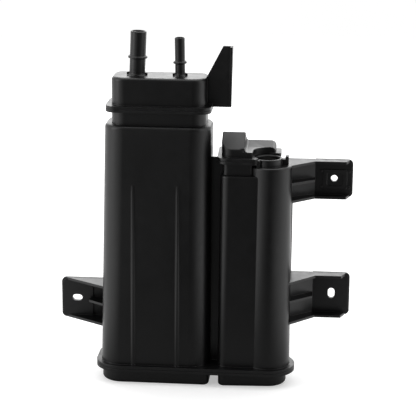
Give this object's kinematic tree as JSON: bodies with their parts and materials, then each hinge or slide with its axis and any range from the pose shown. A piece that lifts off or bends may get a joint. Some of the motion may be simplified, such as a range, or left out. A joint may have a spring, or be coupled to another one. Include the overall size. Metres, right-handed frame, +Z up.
{
  "type": "charcoal canister",
  "caption": "Black plastic charcoal canister: tall main chamber with two hose ports, shorter vent chamber with a round tube and vent mouth, ribbed mounting brackets.",
  "frame": {"origin": "on the flat underside of the bottom cover, midway across the depth and near the middle of the width", "axes": "+X to the right seen from the front, +Y to the back where the bracket faces meet the vehicle, +Z up along the chambers towards the hose ports"},
  "size_m": [0.2953, 0.0665, 0.3534],
  "materials": {
    "housing_plastic": "satin black moulding",
    "cap_plastic": "satin black moulding",
    "duct_plastic": "satin black moulding",
    "cover_plastic": "satin black moulding",
    "grid_nylon": "natural nylon",
    "filter_fleece": "white felted fleece",
    "carbon_granules": "packed activated carbon granules",
    "spring_steel": "bright spring wire"
  },
  "bodies": {
    "root": {"housing": "housing_plastic", "top_cap": "cap_plastic", "vent_cover": "duct_plastic", "bottom_cover": "cover_plastic", "main_top_grid": "grid_nylon", "main_tank_filter": "filter_fleece", "main_purge_filter": "filter_fleece", "main_carbon_bed": "carbon_granules", "main_bottom_filter": "filter_fleece", "main_pressure_plate": "grid_nylon", "main_spring_left": "spring_steel", "main_spring_right": "spring_steel", "vent_top_grid": "grid_nylon", "vent_top_filter": "filter_fleece", "vent_carbon_bed": "carbon_granules", "vent_bottom_filter": "filter_fleece", "vent_pressure_plate": "grid_nylon", "vent_spring": "spring_steel", "tube_top_filter": "filter_fleece", "tube_carbon_bed": "carbon_granules", "tube_bottom_filter": "filter_fleece", "tube_pressure_plate": "grid_nylon", "tube_spring": "spring_steel"}
  },
  "joints": []
}
